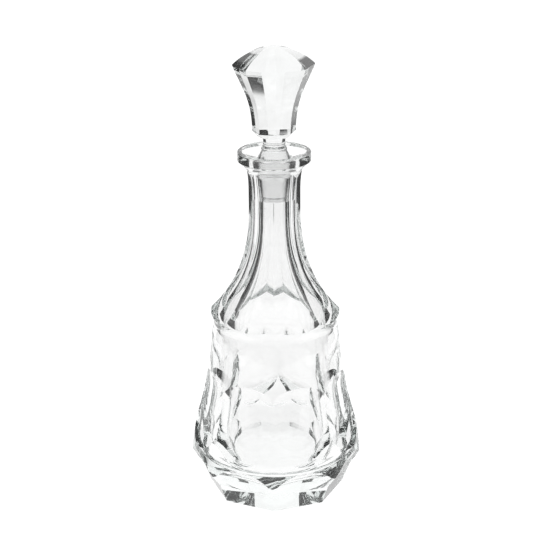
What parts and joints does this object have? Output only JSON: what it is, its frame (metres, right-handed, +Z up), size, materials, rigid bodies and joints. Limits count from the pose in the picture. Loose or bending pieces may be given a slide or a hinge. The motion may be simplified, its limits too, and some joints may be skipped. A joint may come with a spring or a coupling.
{
  "type": "cut crystal decanter with stopper",
  "caption": "Tall eight-sided cut crystal decanter with a flared body of long oval cuts, a heavy faceted base, a round lip and a lift-off domed stopper.",
  "frame": {"origin": "middle of the flat base, on the table", "axes": "+Z up along the decanter's axis; one corner of the eight-sided bottle points along -Y"},
  "size_m": [0.1244, 0.1244, 0.33],
  "materials": {
    "bottle_crystal": "clear polished crystal",
    "stopper_crystal": "clear polished crystal"
  },
  "bodies": {
    "bottle": {"bottle": "bottle_crystal"},
    "stopper": {"stopper": "stopper_crystal"}
  },
  "joints": [
    {"name": "stopper_lift", "type": "slide", "parent": "bottle", "child": "stopper", "axis": [0, 0, 1], "range_m": [0, 0.06]}
  ]
}
